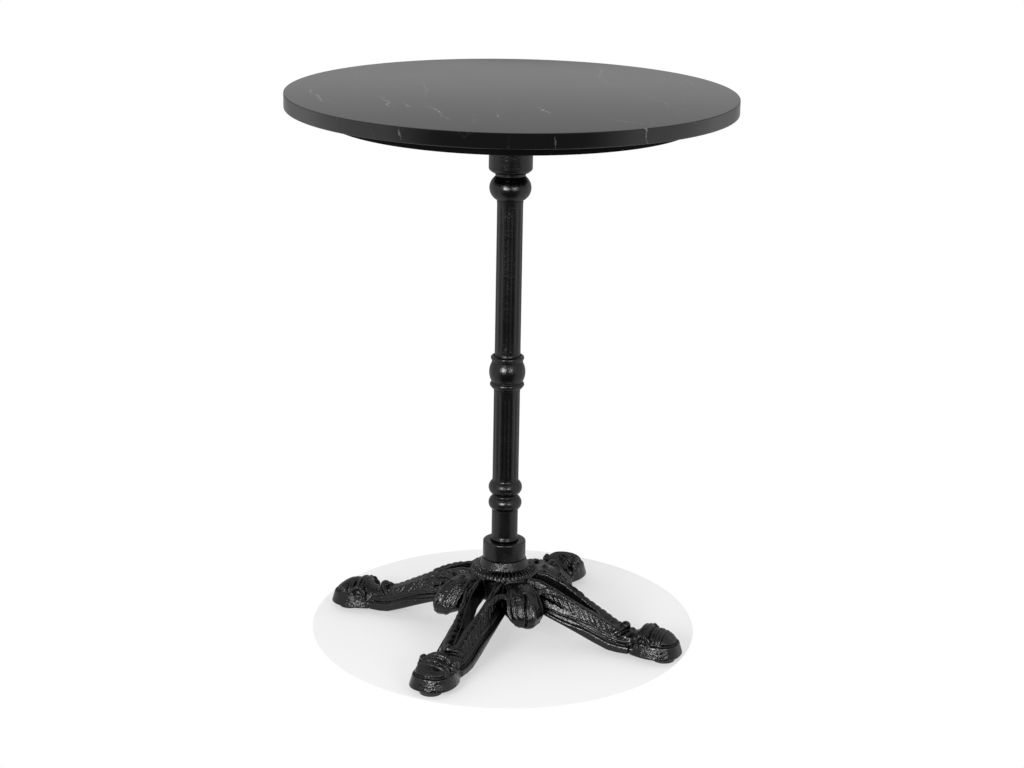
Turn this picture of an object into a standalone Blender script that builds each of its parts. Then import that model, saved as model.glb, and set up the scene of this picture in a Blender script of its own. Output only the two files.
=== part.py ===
"""Round bistro table: a marble top on a fluted cast-iron column with four paw feet.

Units are metres, +Z is up.  The origin is on the floor, on the axis of the column.
The legs point along +X, +Y, -X and -Y; the hanging leaves lie midway between them.
Run with: blender --background --python part.py
"""
import math

import bmesh
import bpy
from mathutils import Matrix, Vector

# ---------------------------------------------------------------- driving dimensions
TABLE_HEIGHT = 0.760
TOP_RADIUS = 0.300
TOP_THICKNESS = 0.020
BOARD_RADIUS = 0.2445
BOARD_THICKNESS = 0.018
GAP = 0.0003                    # clearance kept between neighbouring pieces

LEG_COUNT = 4
HUB_TOP = 0.1123                # top face of the base casting, under the collar
COLLAR_RADIUS = 0.0295
COLLAR_TOP = 0.1378
COLUMN_FOOT = 0.1295            # floor of the recess that the column stands in
COLUMN_TOP = 0.6533             # shoulder of the column, under the spider
COLUMN_BORE = 0.011

ROD_RADIUS = 0.006              # M12 tie rod through the column
ROD_HOLE = 0.0066
NUT_FLATS = 0.019
NUT_HEIGHT = 0.0108

SPIGOT_RADIUS = 0.0150          # plugs that centre the column, the collar and the hub
SOCKET_RADIUS = SPIGOT_RADIUS + GAP

SPIDER_RADIUS = 0.0294          # socket of the cross under the top
ARM_REACH = 0.196
ARM_PLATE = 0.006
SCREW_RADIUS = 0.0025
SCREW_HEAD_RADIUS = 0.0048

PAW_CENTRE = 0.218              # distance of the paw's crown from the column's axis
PAW_HALF_WIDTH = 0.0295
PAW_FLOOR = 0.0090              # underside of the paw, resting on the leveller
PLINTH_HEEL = 0.197
PLINTH_TOE = 0.263
LEVELLER_CENTRE = 0.239
LEVELLER_RADIUS = 0.015
LEVELLER_HEIGHT = PAW_FLOOR - GAP
STUD_RADIUS = 0.0040            # M8 levelling stud
STUD_TOP = 0.0290

BOARD_TOP = TABLE_HEIGHT - TOP_THICKNESS - GAP
BOARD_FLOOR = TABLE_HEIGHT - TOP_THICKNESS - BOARD_THICKNESS
SPIDER_TOP = BOARD_FLOOR - GAP
NUT_RECESS_FLOOR = 0.7020
HUB_CAVITY_TOP = 0.0800

MARBLE = ("black_marble", (0.012, 0.012, 0.013), 0.12, 0.0)
BOARD = ("black_board", (0.010, 0.010, 0.010), 0.55, 0.0)
IRON = ("black_cast_iron", (0.010, 0.010, 0.011), 0.38, 0.0)
STEEL = ("zinc_steel", (0.45, 0.45, 0.46), 0.35, 1.0)
PLASTIC = ("black_plastic", (0.012, 0.012, 0.012), 0.50, 0.0)

# ------------------------------------------------------------------- scene helpers


def clear_scene():
    for old in list(bpy.data.objects):
        bpy.data.objects.remove(old, do_unlink=True)


def make_collection(name):
    collection = bpy.data.collections.new(name)
    bpy.context.scene.collection.children.link(collection)
    return collection


def make_material(node_name, finish):
    name, colour, roughness, metallic = finish
    material = bpy.data.materials.new(f"{node_name}_{name}")
    material.use_nodes = True
    shader = material.node_tree.nodes["Principled BSDF"]
    shader.inputs["Base Color"].default_value = (*colour, 1.0)
    shader.inputs["Roughness"].default_value = roughness
    shader.inputs["Metallic"].default_value = metallic
    return material


def add_object(name, mesh, finish=None):
    """Link a mesh as a finished piece, or as a hidden cutter when it has no finish."""
    piece = bpy.data.objects.new(name, mesh)
    if finish is None:
        CUTTERS.objects.link(piece)
        piece.hide_render = True
        piece.display_type = "WIRE"
    else:
        TABLE.objects.link(piece)
        mesh.materials.append(make_material(name, finish))
    return piece


def smooth(mesh, angle=35):
    mesh.shade_smooth()
    mesh.set_sharp_from_angle(angle=math.radians(angle))


# ------------------------------------------------------------------- shape helpers


def outline(corners, steps=6):
    """Points through (radius, height, bulge) corners.

    A bulge joins a corner to the one before it with an arc whose height is that
    share of half the chord; 0 is a straight line and a negative one is hollow.
    """
    points = [Vector(corners[0][:2])]
    for radius, height, bulge in corners[1:]:
        start = points[-1]
        end = Vector((radius, height))
        if bulge:
            half = (end - start) / 2
            side = Vector((-half.y, half.x))
            quarter = math.atan(bulge)
            reach = half.length / math.sin(2 * quarter)
            centre = start + half - side.normalized() * reach * math.cos(2 * quarter)
            turn = -4 * quarter / steps
            for step in range(1, steps):
                spoke = Matrix.Rotation(turn * step, 2) @ (start - centre)
                points.append(centre + spoke)
        points.append(end)
    return points


def turned(name, corners, finish=None, segments=32, closed=False, steps=6):
    """Turn an outline that runs down its outer side about the Z axis."""
    points = outline(corners, steps)
    mesh = bpy.data.meshes.new(name)
    edges = [(index, index + 1) for index in range(len(points) - 1)]
    if closed:
        edges.append((len(points) - 1, 0))
    mesh.from_pydata([(point.x, 0.0, point.y) for point in points], edges, [])
    piece = add_object(name, mesh, finish)
    screw = piece.modifiers.new("Turn", "SCREW")
    screw.steps = segments
    screw.render_steps = segments
    screw.use_merge_vertices = True
    screw.merge_threshold = 0.00001
    screw.use_smooth_shade = False
    return piece


def loft(name, sections, finish=None):
    """Skin a row of sections that have the same number of points, with flat ends."""
    mesh = bpy.data.meshes.new(name)
    shape = bmesh.new()
    rings = [[shape.verts.new(point) for point in section] for section in sections]
    for lower, upper in zip(rings, rings[1:]):
        for index in range(len(lower)):
            following = (index + 1) % len(lower)
            shape.faces.new((lower[index], lower[following], upper[following], upper[index]))
    shape.faces.new(rings[0])
    shape.faces.new(rings[-1])
    bmesh.ops.recalc_face_normals(shape, faces=shape.faces)
    shape.to_mesh(mesh)
    shape.free()
    return add_object(name, mesh, finish)


def combine(piece, other, operation="UNION"):
    """Join a tool to a piece, or cut it away, with a Boolean.

    The exact solver loses the base casting at its last leaf, so that piece alone
    uses the manifold one.
    """
    boolean = piece.modifiers.new(operation.title(), "BOOLEAN")
    boolean.operation = operation
    boolean.solver = "MANIFOLD" if piece.name == "base_casting" else "EXACT"
    boolean.object = other


def drill(piece, name, radius, low, high, place=(0.0, 0.0), segments=16):
    """Cut a round hole between two heights."""
    mesh = bpy.data.meshes.new(name)
    shape = bmesh.new()
    bmesh.ops.create_cone(
        shape, cap_ends=True, segments=segments, radius1=radius, radius2=radius, depth=high - low
    )
    shape.to_mesh(mesh)
    shape.free()
    tool = add_object(name, mesh)
    tool.location = (*place, (low + high) / 2)
    combine(piece, tool, "DIFFERENCE")


def spoke(index, offset=0.0):
    """Angle of one leg, or of the leaf after it when the offset is half a step."""
    return math.tau * (index + offset) / LEG_COUNT


# ---------------------------------------------------------------------- the top


def make_marble_top():
    edge = 0.0018
    low = TABLE_HEIGHT - TOP_THICKNESS
    corners = [
        (0.0, TABLE_HEIGHT, 0),
        (TOP_RADIUS - edge, TABLE_HEIGHT, 0),
        (TOP_RADIUS, TABLE_HEIGHT - edge, 0.4),
        (TOP_RADIUS, low + 1.4 * edge, 0),
        (TOP_RADIUS - 1.4 * edge, low, 0.4),
        (0.0, low, 0),
    ]
    top = turned("marble_top", corners, MARBLE, segments=72, steps=2)
    smooth(top.data)


def screw_places():
    """Places of the eight wood screws: two on each arm of the spider."""
    for index in range(LEG_COUNT):
        turn = Matrix.Rotation(spoke(index), 2)
        yield turn @ Vector((0.120, 0.0095))
        yield turn @ Vector((0.186, 0.0))


def make_backing_board():
    edge = 0.0012
    corners = [
        (0.0, BOARD_TOP, 0),
        (BOARD_RADIUS - edge, BOARD_TOP, 0),
        (BOARD_RADIUS, BOARD_TOP - edge, 0),
        (BOARD_RADIUS, BOARD_FLOOR + edge, 0),
        (BOARD_RADIUS - edge, BOARD_FLOOR, 0),
        (0.0, BOARD_FLOOR, 0),
    ]
    board = turned("backing_board", corners, BOARD, segments=60)
    for number, place in enumerate(screw_places(), 1):
        drill(board, f"pilot_hole_{number}", SCREW_RADIUS + GAP, BOARD_FLOOR - 0.002,
              BOARD_FLOOR + 0.0125, place, segments=12)


# -------------------------------------------------------------------- the spider


def make_top_spider():
    """Four-armed cross that carries the board and sockets over the column."""
    corners = [
        (0.013, SPIDER_TOP, 0),
        (SPIDER_RADIUS, SPIDER_TOP, 0),
        (SPIDER_RADIUS, 0.6590, 0),
        (0.0270, 0.6561, 0.2),
        (0.0211, COLUMN_TOP + GAP, 0.3),
        (SOCKET_RADIUS, COLUMN_TOP + GAP, 0),
        (SOCKET_RADIUS, 0.6680, 0),
        (ROD_HOLE, 0.6680, 0),
        (ROD_HOLE, NUT_RECESS_FLOOR, 0),
        (0.013, NUT_RECESS_FLOOR, 0),
    ]
    spider = turned("top_spider", corners, IRON, segments=28, closed=True, steps=2)
    rib = 0.0035
    plate = SPIDER_TOP - ARM_PLATE
    # Distance from the axis, half width of the plate, depth of the rib below the top.
    stations = [
        (0.020, 0.0150, 0.030),
        (0.050, 0.0145, 0.026),
        (0.110, 0.0155, 0.017),
        (0.168, 0.0125, 0.0075),
        (0.186, 0.0125, 0.0070),
        (ARM_REACH, 0.0060, 0.0065),
    ]
    for index in range(LEG_COUNT):
        turn = Matrix.Rotation(spoke(index), 3, "Z")
        sections = []
        for reach, half_width, depth in stations:
            section = [
                (reach, -half_width, SPIDER_TOP),
                (reach, half_width, SPIDER_TOP),
                (reach, half_width, plate + 0.0010),
                (reach, rib, plate),
                (reach, rib, SPIDER_TOP - depth),
                (reach, -rib, SPIDER_TOP - depth),
                (reach, -rib, plate),
                (reach, -half_width, plate + 0.0010),
            ]
            sections.append([turn @ Vector(point) for point in section])
        arm = loft(f"spider_arm_{index + 1}", sections)
        combine(spider, arm)
    for number, place in enumerate(screw_places(), 1):
        drill(spider, f"arm_hole_{number}", SCREW_RADIUS + GAP, plate - 0.004,
              SPIDER_TOP + 0.002, place, segments=12)


def make_spider_screws():
    """Pan-head wood screws up through the arms into the board."""
    head_top = SPIDER_TOP - ARM_PLATE - GAP - 0.0002
    tip = BOARD_FLOOR + 0.0120
    corners = [
        (0.0, tip, 0),
        (SCREW_RADIUS, tip - 0.0035, 0),
        (SCREW_RADIUS, head_top, 0),
        (SCREW_HEAD_RADIUS, head_top, 0),
        (SCREW_HEAD_RADIUS - 0.0006, head_top - 0.0018, 0),
        (SCREW_HEAD_RADIUS - 0.0022, head_top - 0.0028, 0),
        (0.0, head_top - 0.0030, 0),
    ]
    for number, place in enumerate(screw_places(), 1):
        screw = turned(f"spider_screw_{number}", corners, STEEL, segments=12)
        screw.location = (*place, -0.0012)


# ------------------------------------------------------------- column and fasteners


def make_column():
    """Hollow casting with a ball under the top, a middle knop and a double ring."""
    corners = [
        (SPIGOT_RADIUS, 0.6670, 0),
        (SPIGOT_RADIUS, COLUMN_TOP, 0),
        (0.0211, COLUMN_TOP, 0),
        (0.0202, 0.6510, 0),
        (0.0213, 0.6490, 0),
        (0.0183, 0.6170, 0.46),          # ball
        (0.0175, 0.6120, 0),
        (0.0177, 0.4050, 0),             # upper shaft
        (0.0187, 0.4040, 0),
        (0.0225, 0.3970, 0.35),
        (0.0224, 0.3956, 0),
        (0.0224, 0.3660, 0.17),          # middle knop
        (0.0230, 0.3617, 0),
        (0.0187, 0.3547, 0.30),
        (0.0179, 0.3530, 0),
        (0.0180, 0.2240, 0),             # lower shaft
        (0.0190, 0.2223, 0),
        (0.0192, 0.2033, 0.37),          # upper ring
        (0.0192, 0.2017, 0),
        (0.0186, 0.1828, 0.38),          # lower ring
        (0.0180, 0.1810, 0),
        (0.0181, 0.1530, 0),
        (0.0192, 0.1440, -0.10),
        (0.0193, COLUMN_FOOT + GAP, 0),
        (SPIGOT_RADIUS, COLUMN_FOOT + GAP, 0),
        (SPIGOT_RADIUS, 0.1205, 0),
        (COLUMN_BORE, 0.1205, 0),
        (COLUMN_BORE, 0.6670, 0),
    ]
    column = turned("column", corners, IRON, segments=24, closed=True, steps=4)
    smooth(column.data)


def make_base_collar():
    """Plain ring between the base casting and the column."""
    edge = 0.0025
    corners = [
        (0.0196, COLLAR_TOP, 0),
        (COLLAR_RADIUS - edge, COLLAR_TOP, 0),
        (COLLAR_RADIUS, COLLAR_TOP - edge, 0.4),
        (COLLAR_RADIUS, HUB_TOP + GAP, 0),
        (SOCKET_RADIUS, HUB_TOP + GAP, 0),
        (SOCKET_RADIUS, COLUMN_FOOT, 0),
        (0.0196, COLUMN_FOOT, 0),
    ]
    turned("base_collar", corners, IRON, segments=28, closed=True, steps=2)


def ring_washer(name, outer, inner, low, high, finish=STEEL):
    corners = [(inner, high, 0), (outer, high, 0), (outer, low, 0), (inner, low, 0)]
    return turned(name, corners, finish, segments=20, closed=True)


def make_spring_washer(name, low, high):
    """Split ring with a slanted cut."""
    washer = ring_washer(name, 0.0103, ROD_RADIUS + GAP, low, high)
    mesh = bpy.data.meshes.new(f"{name}_cut")
    shape = bmesh.new()
    bmesh.ops.create_cube(shape, size=1.0)
    bmesh.ops.scale(shape, vec=(0.010, 0.0012, 0.008), verts=shape.verts)
    shape.to_mesh(mesh)
    shape.free()
    tool = add_object(f"{name}_cut", mesh)
    tool.location = (0.0085, 0.0004, (low + high) / 2)
    tool.rotation_euler = (math.radians(35), 0, 0)
    combine(washer, tool, "DIFFERENCE")


def make_nut(name, low):
    mesh = bpy.data.meshes.new(name)
    shape = bmesh.new()
    corner = NUT_FLATS / math.sqrt(3)
    bmesh.ops.create_cone(
        shape, cap_ends=True, segments=6, radius1=corner, radius2=corner, depth=NUT_HEIGHT
    )
    shape.to_mesh(mesh)
    shape.free()
    nut = add_object(name, mesh, STEEL)
    nut.location.z = low + NUT_HEIGHT / 2
    edges = [
        (0.0, NUT_HEIGHT / 2 + 0.001, 0),
        (corner - 0.0035, NUT_HEIGHT / 2 + 0.001, 0),
        (corner + 0.0004, NUT_HEIGHT / 2 - 0.0012, 0),
        (corner + 0.0004, 0.0012 - NUT_HEIGHT / 2, 0),
        (corner - 0.0035, -NUT_HEIGHT / 2 - 0.001, 0),
        (0.0, -NUT_HEIGHT / 2 - 0.001, 0),
    ]
    crown = turned(f"{name}_crown", edges, segments=20)
    crown.location = nut.location
    combine(nut, crown, "INTERSECT")
    drill(nut, f"{name}_thread", ROD_RADIUS + GAP, low - 0.002, low + NUT_HEIGHT + 0.002,
          segments=16)


def make_tie_rod_set():
    """Threaded rod that clamps spider, column, collar and base casting together."""
    thin = 0.0025
    washer_low = HUB_CAVITY_TOP - GAP - thin
    spring_low = washer_low - GAP - thin
    nut_low = spring_low - GAP - NUT_HEIGHT
    rod_low = nut_low - 0.004
    ring_washer("bottom_washer", 0.0180, ROD_RADIUS + GAP, washer_low, HUB_CAVITY_TOP - GAP)
    make_spring_washer("bottom_spring_washer", spring_low, spring_low + thin)
    make_nut("bottom_nut", nut_low)
    top_washer_low = NUT_RECESS_FLOOR + GAP
    top_nut_low = top_washer_low + thin + GAP
    ring_washer("top_washer", 0.0120, ROD_RADIUS + GAP, top_washer_low, top_washer_low + thin)
    make_nut("top_nut", top_nut_low)
    rod_high = top_nut_low + NUT_HEIGHT + 0.004
    chamfer = 0.001
    corners = [
        (0.0, rod_high, 0),
        (ROD_RADIUS - chamfer, rod_high, 0),
        (ROD_RADIUS, rod_high - chamfer, 0),
        (ROD_RADIUS, rod_low + chamfer, 0),
        (ROD_RADIUS - chamfer, rod_low, 0),
        (0.0, rod_low, 0),
    ]
    rod = turned("tie_rod", corners, STEEL, segments=16)
    smooth(rod.data)


# ----------------------------------------------------------------- the base casting


def ridge_height(reach):
    """Top of a leg at a distance from the column's axis."""
    share = min(max((reach - 0.050) / 0.130, 0.0), 1.0)
    return 0.0955 - 0.0640 * share + 0.0045 * math.sin(share * math.pi)


def skirt_height(reach):
    """Lower edge of a leg at a distance from the column's axis."""
    return max(0.0515 - 0.36 * (reach - 0.060), PAW_FLOOR + 0.0012)


def flank_section(reach, side, turn):
    """Section of one side of a leg: a leaning plate with a thick top and lower rib."""
    share = min(max((reach - 0.060) / 0.100, 0.0), 1.0)
    crest = 0.0150 - 0.0065 * share
    inner = crest - 0.0035
    shoulder = 0.0185 - 0.0040 * share
    high = ridge_height(reach)
    low = skirt_height(reach)
    hem = 0.0295 - 0.0045 * min(max((reach - 0.170) / 0.030, 0.0), 1.0)
    section = [
        (crest, high),
        (shoulder, high - 0.0035),
        (hem - 0.0035, low + 0.0130),
        (hem, low + 0.0110),
        (hem, low),
        (hem - 0.0070, low),
        (hem - 0.0105, low + 0.0120),
        (inner + 0.0010, high - 0.0085),
        (inner, high - 0.0020),
    ]
    return [turn @ Vector((reach, side * across, height)) for across, height in section]


def add_flanks(base, index):
    turn = Matrix.Rotation(spoke(index), 3, "Z")
    reaches = [0.026, 0.045, 0.065, 0.085, 0.105, 0.125, 0.145, 0.165, 0.180, 0.203]
    for side, word in ((1, "left"), (-1, "right")):
        sections = [flank_section(reach, side, turn) for reach in reaches]
        flank = loft(f"leg_{index + 1}_{word}_flank", sections)
        combine(base, flank)


def add_instep(base, index):
    """Web that closes the leg between its sides, from the slot's end to the paw."""
    turn = Matrix.Rotation(spoke(index), 3, "Z")
    sections = []
    for reach, half_width, low, high in (
        (0.142, 0.0040, 0.040, 0.0480),
        (0.160, 0.0150, 0.028, 0.0405),
        (0.182, 0.0190, 0.015, 0.0385),
        (0.206, 0.0205, 0.012, 0.0330),
    ):
        section = [
            (reach, -half_width, low),
            (reach, half_width, low),
            (reach, half_width * 0.75, high - 0.005),
            (reach, half_width * 0.3, high),
            (reach, -half_width * 0.3, high),
            (reach, -half_width * 0.75, high - 0.005),
        ]
        sections.append([turn @ Vector(point) for point in section])
    combine(base, loft(f"leg_{index + 1}_instep", sections))


def paw_outline(inset, height, turn):
    """Plan of the paw's plinth: square heel and half-round toe."""
    half = PAW_HALF_WIDTH - inset
    centre = PLINTH_TOE - PAW_HALF_WIDTH - 0.001
    points = [(PLINTH_HEEL + inset, -half)]
    steps = 8
    for step in range(steps + 1):
        angle = -math.pi / 2 + math.pi * step / steps
        points.append((centre + (half + 0.001) * math.cos(angle), half * math.sin(angle)))
    points.append((PLINTH_HEEL + inset, half))
    return [turn @ Vector((along, across, height)) for along, across in points]


def add_paw(base, index):
    turn = Matrix.Rotation(spoke(index), 3, "Z")
    levels = [(0.0010, PAW_FLOOR), (0.0, PAW_FLOOR + 0.001), (0.0042, 0.0256), (0.0110, 0.0290)]
    sections = [paw_outline(inset, height, turn) for inset, height in levels]
    combine(base, loft(f"paw_{index + 1}_plinth", sections))
    shapes = [
        ("crown", PAW_CENTRE, 0.0285, (0.0265, 0.0222, 0.0185)),
        ("bud", 0.182, 0.0410, (0.0060, 0.0060, 0.0060)),
    ]
    for word, reach, height, radii in shapes:
        mesh = bpy.data.meshes.new(f"paw_{index + 1}_{word}")
        shape = bmesh.new()
        around = 16 if word == "crown" else 8
        bmesh.ops.create_uvsphere(shape, u_segments=around, v_segments=around // 2, radius=1.0)
        bmesh.ops.scale(shape, vec=radii, verts=shape.verts)
        shape.to_mesh(mesh)
        shape.free()
        ball = add_object(mesh.name, mesh)
        ball.matrix_world = Matrix.Rotation(spoke(index), 4, "Z") @ Matrix.Translation(
            (reach, 0.0, height)
        )
        combine(base, ball)


def add_leaf(base, index):
    """Drooping leaf that hangs from the hub between two legs."""
    turn = Matrix.Rotation(spoke(index, 0.5), 3, "Z")
    # Height, reach of the inner side, reach of the outer side, half width.
    levels = [
        (0.0400, 0.078, 0.0945, 0.0090),
        (0.0430, 0.066, 0.1005, 0.0170),
        (0.0500, 0.052, 0.1040, 0.0225),
        (0.0600, 0.036, 0.1025, 0.0240),
        (0.0700, 0.029, 0.0970, 0.0235),
        (0.0800, 0.028, 0.0860, 0.0195),
        (0.0870, 0.027, 0.0730, 0.0130),
        (0.0895, 0.026, 0.0620, 0.0070),
    ]
    sections = []
    steps = 8
    for height, inner, outer, half in levels:
        depth = (outer - inner) * 0.55
        section = [Vector((inner, -half * 0.7, height))]
        for step in range(steps + 1):
            angle = -math.pi / 2 + math.pi * step / steps
            along = outer - depth + depth * math.cos(angle)
            section.append(Vector((along, half * math.sin(angle), height)))
        section.append(Vector((inner, half * 0.7, height)))
        sections.append([turn @ point for point in section])
    combine(base, loft(f"leaf_{index + 1}", sections))


def make_base_casting():
    """One casting: turned hub, four legs with paws and four hanging leaves."""
    corners = [
        (0.0, 0.1185, 0),
        (SPIGOT_RADIUS, 0.1185, 0),
        (SPIGOT_RADIUS, HUB_TOP, 0),
        (0.0304, HUB_TOP, 0),
        (0.0335, 0.0990, 0),
        (0.0400, 0.0835, 0.95),          # ring of gadroons
        (0.0395, 0.0620, 0),
        (0.0370, 0.0570, 0),
        (0.0, 0.0570, 0),
    ]
    base = turned("base_casting", corners, IRON, segments=32, steps=5)
    for index in range(LEG_COUNT):
        add_flanks(base, index)
        add_instep(base, index)
        add_paw(base, index)
        add_leaf(base, index)
    drill(base, "hub_cavity", 0.0240, 0.030, HUB_CAVITY_TOP, segments=28)
    drill(base, "hub_bore", ROD_HOLE, 0.070, 0.125, segments=16)
    for index in range(LEG_COUNT):
        place = Matrix.Rotation(spoke(index), 2) @ Vector((LEVELLER_CENTRE, 0.0))
        drill(base, f"stud_hole_{index + 1}", STUD_RADIUS + GAP + 0.0001, PAW_FLOOR - 0.003,
              STUD_TOP + 0.0015, place)


# ------------------------------------------------------------------- levelling feet


def make_levellers():
    """Pads that slide down and studs that turn in them, one pair under each paw."""
    pad_corners = [
        (STUD_RADIUS + GAP, LEVELLER_HEIGHT, 0),
        (0.0090, LEVELLER_HEIGHT, 0),
        (LEVELLER_RADIUS - 0.0006, LEVELLER_HEIGHT - 0.0012, 0),
        (LEVELLER_RADIUS, LEVELLER_HEIGHT - 0.0020, 0),
        (LEVELLER_RADIUS, 0.0014, 0),
        (LEVELLER_RADIUS - 0.0012, 0.0, 0),
        (0.0, 0.0, 0),
    ]
    socket_floor = 0.0028
    pad_corners = [(0.0, socket_floor, 0), (STUD_RADIUS + GAP, socket_floor, 0)] + pad_corners
    stud_low = socket_floor + GAP
    stud_corners = [
        (0.0, STUD_TOP, 0),
        (STUD_RADIUS - 0.0008, STUD_TOP, 0),
        (STUD_RADIUS, STUD_TOP - 0.0010, 0),
        (STUD_RADIUS, stud_low, 0),
        (0.0, stud_low, 0),
    ]
    for index in range(LEG_COUNT):
        place = Matrix.Rotation(spoke(index), 2) @ Vector((LEVELLER_CENTRE, 0.0))
        pad = turned(f"leveller_{index + 1}_pad", pad_corners, PLASTIC, segments=20)
        stud = turned(f"leveller_{index + 1}_stud", stud_corners, STEEL, segments=12)
        pad.location.xy = place
        stud.location.xy = place


clear_scene()
TABLE = make_collection("bistro_table")
CUTTERS = make_collection("cutters")
make_marble_top()
make_backing_board()
make_top_spider()
make_spider_screws()
make_column()
make_base_collar()
make_tie_rod_set()
make_base_casting()
make_levellers()
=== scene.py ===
"""Looks of a round bistro table: marble top, fluted iron column, four paw feet.

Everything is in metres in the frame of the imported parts: the origin is on the floor,
on the column's axis, and the legs point along +X, +Y, -X and -Y.
"""
from math import atan, ceil, copysign, cos, pi, radians, sin, sqrt, tau

import bmesh
import bpy
import numpy as np
from mathutils import Matrix, Vector


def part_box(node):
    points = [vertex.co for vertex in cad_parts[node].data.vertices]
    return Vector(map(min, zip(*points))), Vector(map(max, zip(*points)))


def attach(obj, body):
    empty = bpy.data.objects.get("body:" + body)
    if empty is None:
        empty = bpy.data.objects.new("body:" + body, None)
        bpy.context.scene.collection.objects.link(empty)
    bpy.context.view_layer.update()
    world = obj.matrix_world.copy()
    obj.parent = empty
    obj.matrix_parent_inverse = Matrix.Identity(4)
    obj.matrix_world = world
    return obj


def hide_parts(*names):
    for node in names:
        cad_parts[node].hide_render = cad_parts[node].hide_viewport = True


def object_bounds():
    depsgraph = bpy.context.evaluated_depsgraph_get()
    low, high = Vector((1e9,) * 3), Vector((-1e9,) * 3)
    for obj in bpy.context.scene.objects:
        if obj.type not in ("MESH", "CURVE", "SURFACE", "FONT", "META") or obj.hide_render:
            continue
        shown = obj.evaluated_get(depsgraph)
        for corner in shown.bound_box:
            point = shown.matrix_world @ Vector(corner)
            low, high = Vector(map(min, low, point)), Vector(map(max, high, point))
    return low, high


# ---- driving dimensions
LEG_COUNT = 4
VOXEL = 0.001     # grain of the sculpted castings

SPIGOT_RADIUS = 0.0146          # recess that centres the collar on the hub
HUB_TOP = 0.1123
CAVITY_RADIUS = 0.024
CAVITY_TOP = 0.08
ROD_HOLE = 0.0066
NUT_RECESS = 0.013
SOCKET_RADIUS = 0.0294          # of the spider, over the column
SCREW_HOLE = 0.0029

FEATHER_START = 0.074
FEATHER_END = 0.17
FEATHER_PITCH = 0.0088
GADROONS = 48

PAW_FLOOR = 0.009
PAW_HALF_WIDTH = 0.0318
PLINTH_HEEL = 0.1975
PLINTH_TOE = 0.263
TOE_LENGTH = 0.037
TOE_SQUARENESS = 0.82           # power of the toe's plan; 1 is a half round
STUD_CENTRE = 0.239
STUD_HOLE = 0.0044
STUD_HOLE_TOP = 0.0305

FLUTES = 14
FLUTE_DEPTH = 0.0006
QUARTER_ROUND = 0.41            # bulge of a rounded edge
ROD_PITCH = 0.00175             # M12 thread
STUD_PITCH = 0.00125            # M8 thread

CAMERA_AZIMUTH = 23.0           # degrees from -Y towards +X
CAMERA_DISTANCE = 3.2153
CAMERA_HEIGHT = 1.2837
CAMERA_LENS = 86.42
CAMERA_PAN = 0.12               # degrees
CAMERA_TILT = 16.01
CAMERA_ROLL = 1.016
SOFTBOX_DISTANCE = 3.4
SOFTBOX_ELEVATION = 17.0
SOFTBOX_HEIGHT = 0.8
FLOOR_GLOW = 0.47
FLOOR_REACH = (0.268, 0.303)    # half width and half length of the floor patch
FLOOR_SHIFT = 0.036             # its middle lies this far behind the column
LAMP_AIM = 0.3                  # height that the softboxes point at
SLOT_SHADE = 0.65               # painted shade within the legs' slots: how far the iron there is darkened and roughened
PAINTED_EDGE_SHADE = 0.2                # painted shade: how much darker the slab's edge is than its top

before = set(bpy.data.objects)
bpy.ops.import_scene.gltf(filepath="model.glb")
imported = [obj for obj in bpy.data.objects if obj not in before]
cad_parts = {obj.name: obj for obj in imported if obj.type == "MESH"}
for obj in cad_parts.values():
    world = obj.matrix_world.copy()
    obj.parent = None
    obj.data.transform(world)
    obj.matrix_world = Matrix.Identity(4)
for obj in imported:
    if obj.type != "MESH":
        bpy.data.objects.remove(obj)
cad_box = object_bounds()

# ---- mesh helpers


def outline(corners, steps=8):
    """Points through (radius, height) or (radius, height, bulge) corners.

    A bulge joins a corner to the one before it with an arc whose height is that
    share of half the chord; a negative one is hollow.
    """
    points = [Vector(corners[0][:2])]
    for radius, height, *bulge in corners[1:]:
        start = points[-1]
        end = Vector((radius, height))
        if bulge:
            half = (end - start) / 2
            side = Vector((-half.y, half.x))
            quarter = atan(bulge[0])
            reach = half.length / sin(2 * quarter)
            centre = start + half - side.normalized() * reach * cos(2 * quarter)
            turn = -4 * quarter / steps
            for step in range(1, steps):
                points.append(centre + Matrix.Rotation(turn * step, 2) @ (start - centre))
        points.append(end)
    return points


def disc_corners(radius, low, high, upper_edge, lower_edge, *bulge):
    """Corners of a disc or rod with an eased edge at its top and its bottom."""
    return [
        (0.0, high),
        (radius - upper_edge, high),
        (radius, high - upper_edge, *bulge),
        (radius, low + lower_edge),
        (radius - lower_edge, low, *bulge),
        (0.0, low),
    ]


def refine(points, spacing, closed=False):
    """Split the long runs of an outline into steps within the spacing."""
    ends = points[1:] + points[:1] if closed else points[1:]
    fine = []
    for start, end in zip(points, ends):
        count = max(1, ceil((end - start).length / spacing))
        fine.extend(start.lerp(end, step / count) for step in range(count))
    if not closed:
        fine.append(points[-1])
    return fine


def add_turned(shape, points, segments, relief=None, closed=False):
    """Turn an outline about Z into a bmesh; relief(angle, radius, height) is added."""
    rings = []
    for point in points:
        if point.x < 1e-7:
            rings.append([shape.verts.new((0.0, 0.0, point.y))])
            continue
        ring = []
        for index in range(segments):
            angle = tau * index / segments
            radius = point.x + (relief(angle, point.x, point.y) if relief else 0.0)
            place = (radius * cos(angle), radius * sin(angle), point.y)
            ring.append(shape.verts.new(place))
        rings.append(ring)
    pairs = list(zip(rings, rings[1:]))
    if closed:
        pairs.append((rings[-1], rings[0]))
    faces = []
    for upper, lower in pairs:
        for index in range(segments):
            following = (index + 1) % segments
            corners = [
                upper[index % len(upper)],
                lower[index % len(lower)],
                lower[following % len(lower)],
                upper[following % len(upper)],
            ]
            faces.append(shape.faces.new(list(dict.fromkeys(corners))))
    bmesh.ops.recalc_face_normals(shape, faces=faces)


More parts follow.
